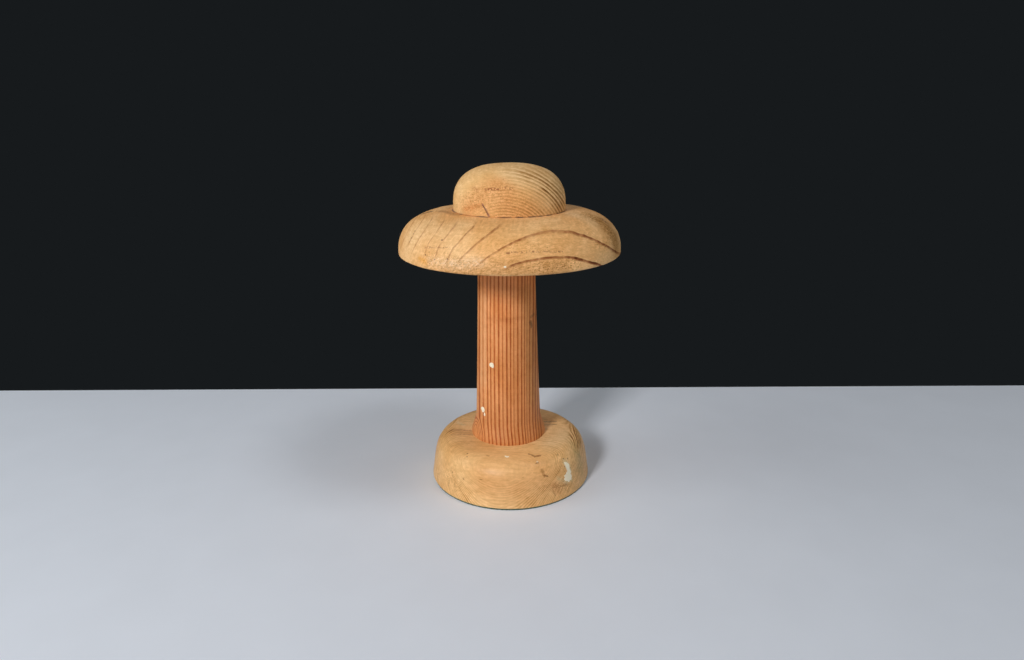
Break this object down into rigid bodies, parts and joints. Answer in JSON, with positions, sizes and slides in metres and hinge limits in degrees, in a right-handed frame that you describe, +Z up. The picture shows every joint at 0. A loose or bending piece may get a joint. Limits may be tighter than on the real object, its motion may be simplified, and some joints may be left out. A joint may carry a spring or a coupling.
{
  "type": "hat stand",
  "caption": "Turned softwood hat stand with a small domed crown block on a wide mushroom-shaped brim block, a plain tapered column and a heavy round base on a baize pad.",
  "frame": {"origin": "middle of the underside of the baize pad, where the stand meets the table", "axes": "+Z up through the crown, -Y towards the pictured front, +X to the viewer's right"},
  "size_m": [0.2232, 0.2232, 0.3345],
  "materials": {
    "baize": "dark green felted wool baize",
    "base_wood": "pale honey softwood, worn satin varnish",
    "column_wood": "reddish quarter-sawn softwood with close vertical grain lines, worn satin varnish",
    "brim_wood": "pale honey softwood with wide growth rings, worn satin varnish",
    "crown_wood": "pale honey softwood with end grain at the front, worn satin varnish",
    "hardwood": "plain unvarnished beech",
    "steel": "dull zinc-plated steel"
  },
  "bodies": {
    "root": {"baize_pad": "baize", "base": "base_wood", "column": "column_wood", "spigot_wedge": "hardwood", "brim": "brim_wood", "crown": "crown_wood", "dowel_left": "hardwood", "dowel_right": "hardwood", "base_washer": "steel", "base_screw": "steel"}
  },
  "joints": []
}
